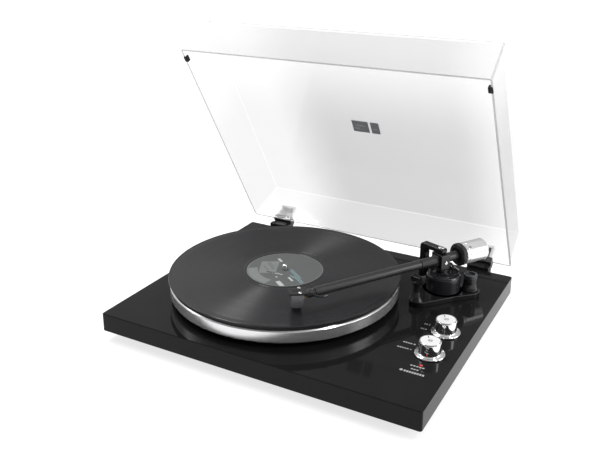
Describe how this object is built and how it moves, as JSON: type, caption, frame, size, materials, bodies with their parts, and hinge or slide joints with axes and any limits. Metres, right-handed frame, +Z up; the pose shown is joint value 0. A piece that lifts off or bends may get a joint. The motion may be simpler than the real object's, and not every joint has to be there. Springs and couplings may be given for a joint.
{
  "type": "turntable record player",
  "caption": "Belt-drive record player with a gloss slab plinth, straight tonearm under a bridge, chrome knobs and a clear cover on friction hinges.",
  "frame": {"origin": "middle of the part's bounding box, on the floor under the feet", "axes": "+X to the right seen from the front, +Y to the back where the hinges are, +Z up"},
  "size_m": [0.42, 0.4154, 0.37],
  "materials": {
    "gloss_black": "deep gloss",
    "satin_black": "satin moulded",
    "arm_black": "black satin anodised",
    "black_steel": "black satin paint",
    "rubber": "matt",
    "platter_metal": "machined satin with a bright edge",
    "vinyl": "grooved gloss",
    "label_paper": "printed paper",
    "chrome": "mirror polished",
    "steel": "brushed",
    "silver_weight": "satin nickel",
    "brass": "turned",
    "board_green": "lacquered board",
    "switch_blue": "moulded",
    "lamp_red": "translucent red",
    "jack_white": "moulded",
    "jack_red": "moulded",
    "cartridge_grey": "satin grey",
    "stylus_plastic": "moulded",
    "dial_grey": "satin",
    "clear_cover": "clear moulded acrylic"
  },
  "bodies": {
    "base": {"plinth": "gloss_black", "bottom_panel": "satin_black", "foot_front_left": "rubber", "foot_front_right": "rubber", "foot_rear_left": "rubber", "foot_rear_right": "rubber", "bearing_housing": "steel", "thrust_ball": "chrome", "motor_can": "steel", "motor_bracket": "steel", "drive_belt": "rubber", "circuit_board": "board_green", "speed_switch": "switch_blue", "function_switch": "switch_blue", "power_lamp": "lamp_red", "phono_jack_left": "jack_white", "phono_jack_right": "jack_red", "ground_post": "steel", "power_inlet": "satin_black", "jack_plate": "satin_black", "arm_base": "black_steel", "arm_turret": "gloss_black", "arm_bridge": "black_steel", "bridge_screw": "chrome", "anti_skate_post": "satin_black", "arm_rest": "satin_black", "lever_bracket": "satin_black", "hinge_base_left": "satin_black", "hinge_base_right": "satin_black"},
    "turntable": {"platter": "platter_metal", "slip_mat": "rubber", "record": "vinyl", "record_label": "label_paper", "spindle": "chrome"},
    "pulley": {"motor_pulley": "brass"},
    "speed_selector": {"speed_knob": "chrome"},
    "function_selector": {"function_knob": "chrome"},
    "anti_skate": {"anti_skate_dial": "dial_grey"},
    "cue": {"cue_lever": "chrome"},
    "lifter": {"lift_rest": "satin_black"},
    "gimbal": {"gimbal_yoke": "black_steel", "pivot_screw_near": "chrome", "pivot_screw_far": "chrome"},
    "arm": {"arm_core": "arm_black", "arm_tube": "arm_black", "headshell": "satin_black", "cartridge": "cartridge_grey", "stylus_holder": "stylus_plastic", "finger_lift": "arm_black"},
    "weight": {"counterweight": "silver_weight"},
    "dial": {"force_dial": "satin_black"},
    "cover": {"dust_cover": "clear_cover", "hinge_socket_left": "clear_cover", "hinge_socket_right": "clear_cover", "hinge_leaf_left": "satin_black", "hinge_leaf_right": "satin_black", "cover_bumper_left": "rubber", "cover_bumper_right": "rubber"}
  },
  "joints": [
    {"name": "platter_spin", "type": "hinge", "parent": "base", "child": "turntable", "pos_m": [-0.0435, -0.04066, 0.036], "axis": [0, 0, -1], "continuous": true},
    {"name": "pulley_spin", "type": "hinge", "parent": "base", "child": "pulley", "pos_m": [-0.1405, 0.01534, 0.036], "axis": [0, 0, -1], "continuous": true},
    {"name": "speed_knob_turn", "type": "hinge", "parent": "base", "child": "speed_selector", "pos_m": [0.179, -0.04666, 0.036], "axis": [0, 0, 1], "range_deg": [0, 45]},
    {"name": "function_knob_turn", "type": "hinge", "parent": "base", "child": "function_selector", "pos_m": [0.179, -0.10166, 0.036], "axis": [0, 0, 1], "range_deg": [-45, 45]},
    {"name": "anti_skate_turn", "type": "hinge", "parent": "base", "child": "anti_skate", "pos_m": [0.174, 0.06234, 0.062], "axis": [0, 0, -1], "range_deg": [0, 270]},
    {"name": "arm_swing", "type": "hinge", "parent": "base", "child": "gimbal", "pos_m": [0.137, 0.05034, 0.083], "axis": [0, 0, 1], "range_deg": [-13.5, 17]},
    {"name": "arm_tilt", "type": "hinge", "parent": "gimbal", "child": "arm", "pos_m": [0.137, 0.05034, 0.081], "axis": [-0.8501, 0.5266, 0], "range_deg": [0, 2.5]},
    {"name": "cue_lever_turn", "type": "hinge", "parent": "base", "child": "cue", "pos_m": [0.1455, 0.06334, 0.0704], "axis": [0, -1, 0], "range_deg": [0, 25]},
    {"name": "lift_rise", "type": "slide", "parent": "base", "child": "lifter", "axis": [0, 0, 1], "range_m": [0, 0.0008]},
    {"name": "weight_slide", "type": "slide", "parent": "arm", "child": "weight", "axis": [0.5266, 0.8501, 0], "range_m": [0, 0.004]},
    {"name": "force_dial_turn", "type": "hinge", "parent": "weight", "child": "dial", "pos_m": [0.137, 0.05034, 0.083], "axis": [0.5266, 0.8501, 0], "range_deg": [0, 360]},
    {"name": "cover_hinge", "type": "hinge", "parent": "base", "child": "cover", "pos_m": [0, 0.15134, 0.03425], "axis": [-1, 0, 0], "range_deg": [-58.9, 6]}
  ],
  "couplings": [
    {"joint": "pulley_spin", "follows": "platter_spin", "ratio": 12.746},
    {"joint": "cue_lever_turn", "follows": "arm_tilt", "ratio": 10},
    {"joint": "lift_rise", "follows": "arm_tilt", "m_per_rad": 0.0165},
    {"joint": "force_dial_turn", "follows": "weight_slide", "rad_per_m": 1570}
  ]
}
